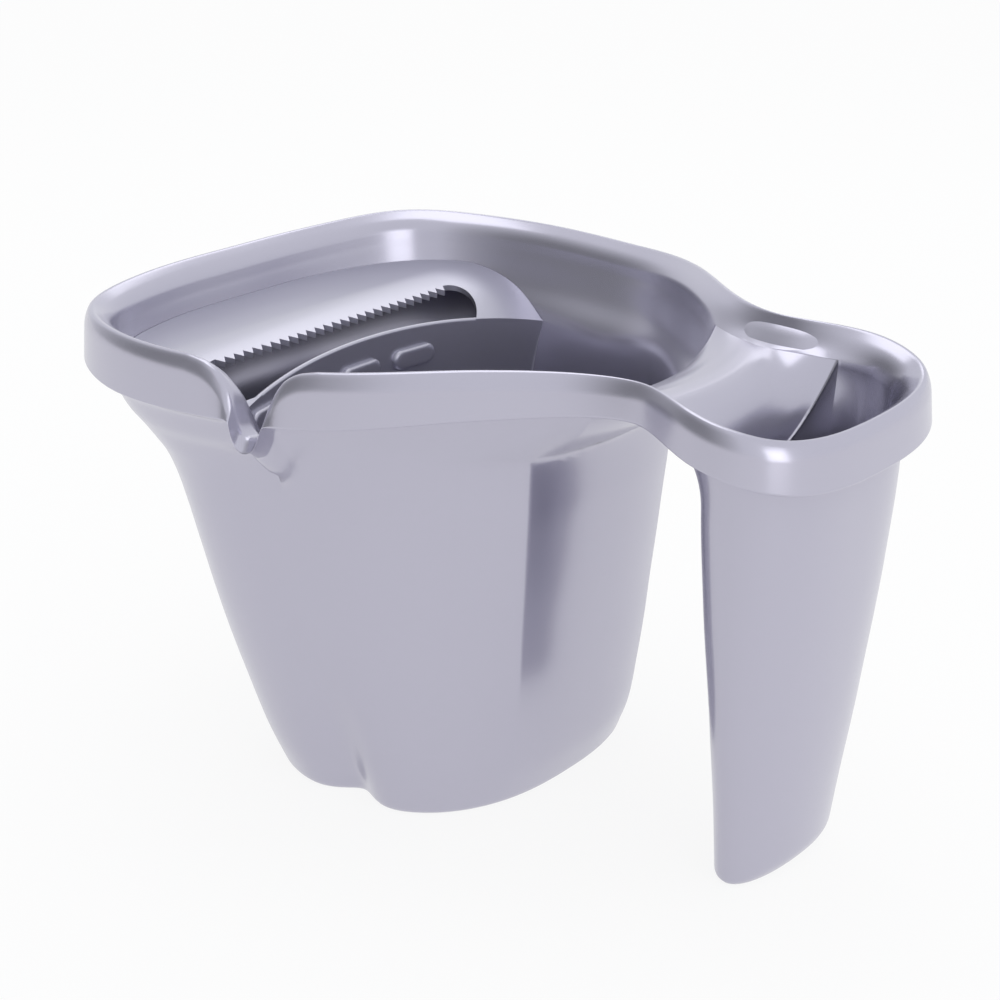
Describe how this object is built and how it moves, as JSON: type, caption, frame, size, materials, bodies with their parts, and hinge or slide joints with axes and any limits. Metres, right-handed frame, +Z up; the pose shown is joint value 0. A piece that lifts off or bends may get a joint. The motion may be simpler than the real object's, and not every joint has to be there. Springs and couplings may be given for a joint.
{
  "type": "cleaning pail with wringer insert",
  "caption": "Hand-held moulded cleaning pail with rolled lip, pour spout, hollow tube handle and a lift-out wringing shelf with a toothed slot and ribbed apron.",
  "frame": {"origin": "on the floor, under the middle of the bounding box", "axes": "+X from the flared end to the handle tube, +Y to the back (the spout is on the -Y side), +Z up"},
  "size_m": [0.3374, 0.255, 0.2032],
  "materials": {
    "pail_plastic": "semi-gloss lavender-grey moulded plastic, smooth with faint mould grain",
    "lip_plastic": "glossy lavender-grey moulded plastic, polished by handling",
    "tube_plastic": "semi-gloss lavender-grey moulded plastic",
    "insert_plastic": "satin lavender-grey moulded plastic with faint wear on the teeth"
  },
  "bodies": {
    "pail": {"pail_shell": "pail_plastic", "rim_collar": "lip_plastic", "pour_spout": "lip_plastic", "saddle_bridge": "lip_plastic", "handle_tube": "tube_plastic"},
    "wringer_insert": {"wringer_deck": "insert_plastic", "wringer_apron": "insert_plastic", "wringer_ribs": "insert_plastic"}
  },
  "joints": [
    {"name": "wringer_lift", "type": "slide", "parent": "pail", "child": "wringer_insert", "axis": [0, 0, 1], "range_m": [0, 0.12]}
  ]
}
